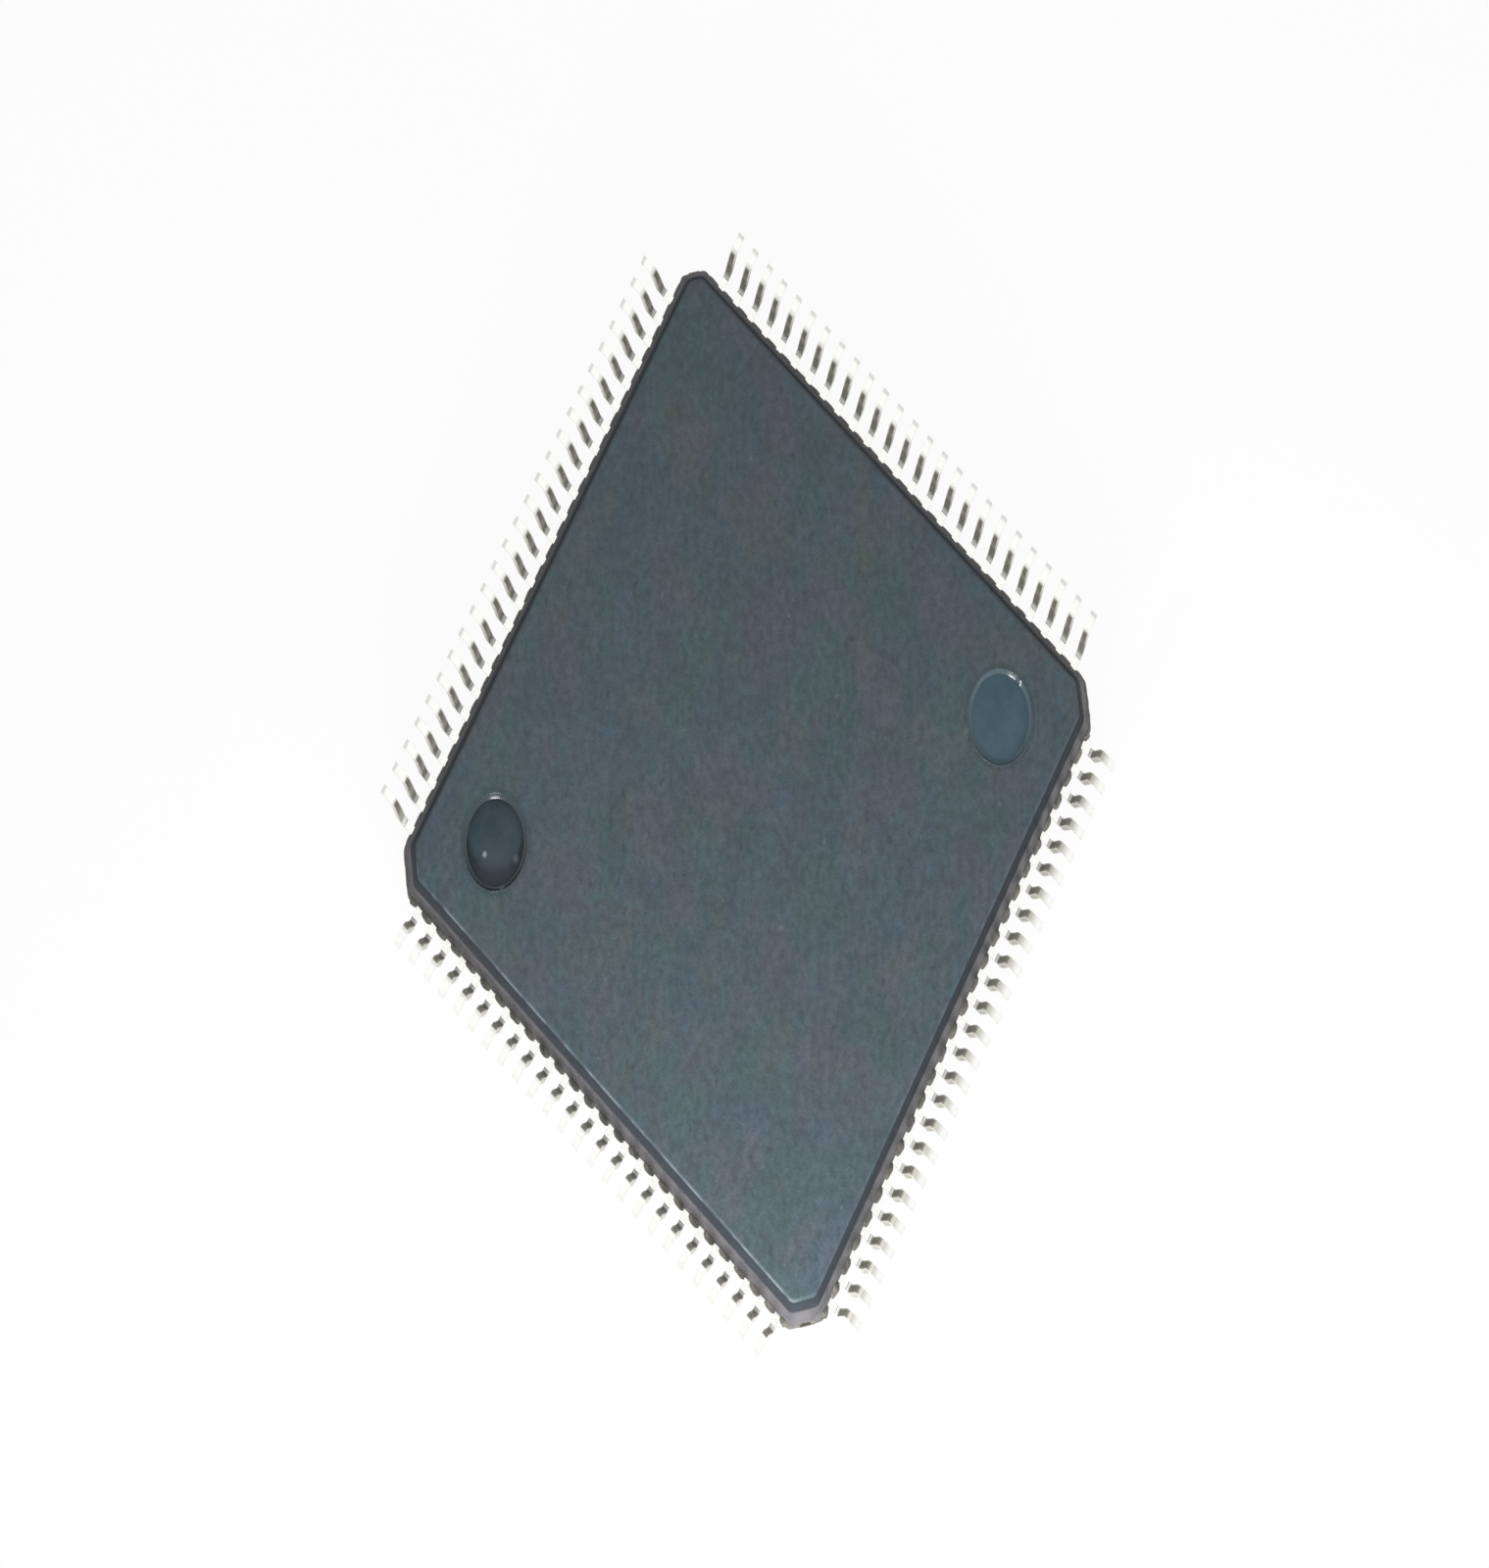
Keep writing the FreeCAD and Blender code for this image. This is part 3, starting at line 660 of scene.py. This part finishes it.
def lip_ring(name, sign, nick, seed):
    """A thin polished lip that slopes down into a mark, with one nick in it where it lies flatter."""
    outside = MARK_DIAMETER / 2 + LIP_MARGIN
    centre = Vector((sign * MARK_PLACE, sign * MARK_PLACE, FACE_LEVEL))
    loops = []
    for step in range(LIP_STEPS):
        turn = 2 * math.pi * step / LIP_STEPS
        out = Vector((math.cos(turn), math.sin(turn), 0))
        uneven = 1 + LIP_UNEVENNESS * noise.noise(out * 3 + Vector((seed, 0, 0)))
        off_nick = abs(math.remainder(turn - nick, 2 * math.pi)) / NICK_HALF
        steep = min(1.0, NICK_DROP + (1 - NICK_DROP) * off_nick ** 2)
        drop = LIP_WIDTH * math.tan(LIP_SLOPE) * uneven * steep
        section = ((0, LIP_RISE), (0.08, LIP_RISE), (0.14, -0.07 * drop), (0.94, -0.93 * drop),
                   (1, -drop), (0.7, -1.1 * drop), (0, -drop))
        loops.append([centre + out * (outside - LIP_WIDTH * share) + UP * rise
                      for share, rise in section])
    return closed_tube(name, loops)


add_piece("parting_flash", flash_ring(), flash_resin())
add_piece("deep_mark_lip", lip_ring("deep_mark_lip", -1, math.radians(-40), 1),
          lip_resin("deep_lip", 0.8, colour(20, 36, 42), 0.6))
add_piece("shallow_mark_lip", lip_ring("shallow_mark_lip", 1, math.radians(87), 5),
          lip_resin("shallow_lip", 0.6, colour(44, 74, 84), 0.75))


# The camera

# The photograph is a picture of a square chip that was stretched upwards after it was taken, so the
# camera's up axis is slanted out of its picture plane, which stretches the picture by the same
# factor and leaves the chip square. The camera looks along a line to the middle of the face, and is
# slid a little to the left of it and below it.
PHOTO_WIDTH = 1519
SENSOR = 36.0
VIEW_TURN = math.radians(-54.182)
VIEW_HEIGHT = math.radians(81.0)
VIEW_DISTANCE = 434.286 * MM
FOCAL_PIXELS = 16192.8
STRETCH = 1.54988
SLIDE_LEFT = 0.10951 * MM
SLIDE_BELOW = 0.08322 * MM


def slanted_camera():
    """A camera above the near corner of the chip."""
    data = bpy.data.cameras.new("camera")
    data.sensor_fit = "HORIZONTAL"
    data.sensor_width = SENSOR
    data.lens = FOCAL_PIXELS / PHOTO_WIDTH * SENSOR
    data.clip_start = 0.01
    data.clip_end = 10
    camera = bpy.data.objects.new("camera", data)
    bpy.context.scene.collection.objects.link(camera)
    flat = math.cos(VIEW_HEIGHT)
    back = Vector((flat * math.cos(VIEW_TURN), flat * math.sin(VIEW_TURN), math.sin(VIEW_HEIGHT)))
    right = UP.cross(back).normalized()
    up = back.cross(right)
    spot = FACE_MIDDLE + back * VIEW_DISTANCE - right * SLIDE_LEFT - up * SLIDE_BELOW
    slant = math.acos(1 / STRETCH)
    slanted = up * math.cos(slant) + back * math.sin(slant)
    stand = bpy.data.objects.new("camera_stand", None)
    bpy.context.scene.collection.objects.link(stand)
    camera.parent = stand
    camera.matrix_parent_inverse = Matrix((
        (right.x, slanted.x, back.x, spot.x),
        (right.y, slanted.y, back.y, spot.y),
        (right.z, slanted.z, back.z, spot.z),
        (0, 0, 0, 1)))
    bpy.context.scene.camera = camera


slanted_camera()


# Light, floor and background

WORLD_LIGHT = 0.61
FLOOR_SIZE = 2.0
FLOOR_DROP = 0.002 * MM
FLOOR_COLOUR = (0.9, 0.9, 0.9, 1)
FLOOR_GLOW = 0.93


def area_lamp(name, place, width, power, glints=False):
    """A square soft lamp that faces the chip. Only one with glints shows in shiny surfaces."""
    data = bpy.data.lights.new(name, "AREA")
    data.shape = "SQUARE"
    data.size = width
    data.energy = power
    lamp = bpy.data.objects.new(name, data)
    lamp.visible_camera = False
    lamp.visible_glossy = glints
    lamp.location = place
    lamp.rotation_euler = (FACE_MIDDLE - Vector(place)).to_track_quat("-Z", "Y").to_euler()
    bpy.context.scene.collection.objects.link(lamp)


def white_world():
    """White to the eye and in reflections, and a soft even light on everything else."""
    world = bpy.data.worlds.new("studio")
    bpy.context.scene.world = world
    world.use_nodes = True
    nodes = Nodes(world.node_tree, "ShaderNodeOutputWorld")
    level = nodes.add("ShaderNodeMapRange", Value=nodes.seen(), To_Min=WORLD_LIGHT, To_Max=1.0)
    nodes.surface(nodes.add("ShaderNodeBackground", Color=WHITE, Strength=level.outputs[0]))


def white_floor():
    """A pale floor that looks white where the light reaches it and keeps a soft shadow."""
    material, nodes = new_material("floor")
    glow_share = nodes.times(nodes.seen(), FLOOR_GLOW)
    matt = nodes.add("ShaderNodeBsdfDiffuse", Color=FLOOR_COLOUR).outputs[0]
    glow = nodes.add("ShaderNodeEmission", Color=WHITE, Strength=1.0).outputs[0]
    nodes.surface(nodes.add("ShaderNodeMixShader", Fac=glow_share, i1=matt, i2=glow))
    bpy.ops.mesh.primitive_plane_add(size=FLOOR_SIZE, location=(0, 0, -FLOOR_DROP))
    floor = bpy.context.object
    floor.name = "floor"
    floor.data.materials.append(material)


white_world()
white_floor()
area_lamp("key", (8 * MM, -22 * MM, 15 * MM), width=7 * MM, power=0.0048, glints=True)
area_lamp("near_corner", (11 * MM, -11 * MM, 6 * MM), width=3 * MM, power=0.0006)
area_lamp("side", (24 * MM, 4 * MM, 8 * MM), width=5 * MM, power=0.0018)

bpy.context.scene.view_settings.view_transform = "Standard"
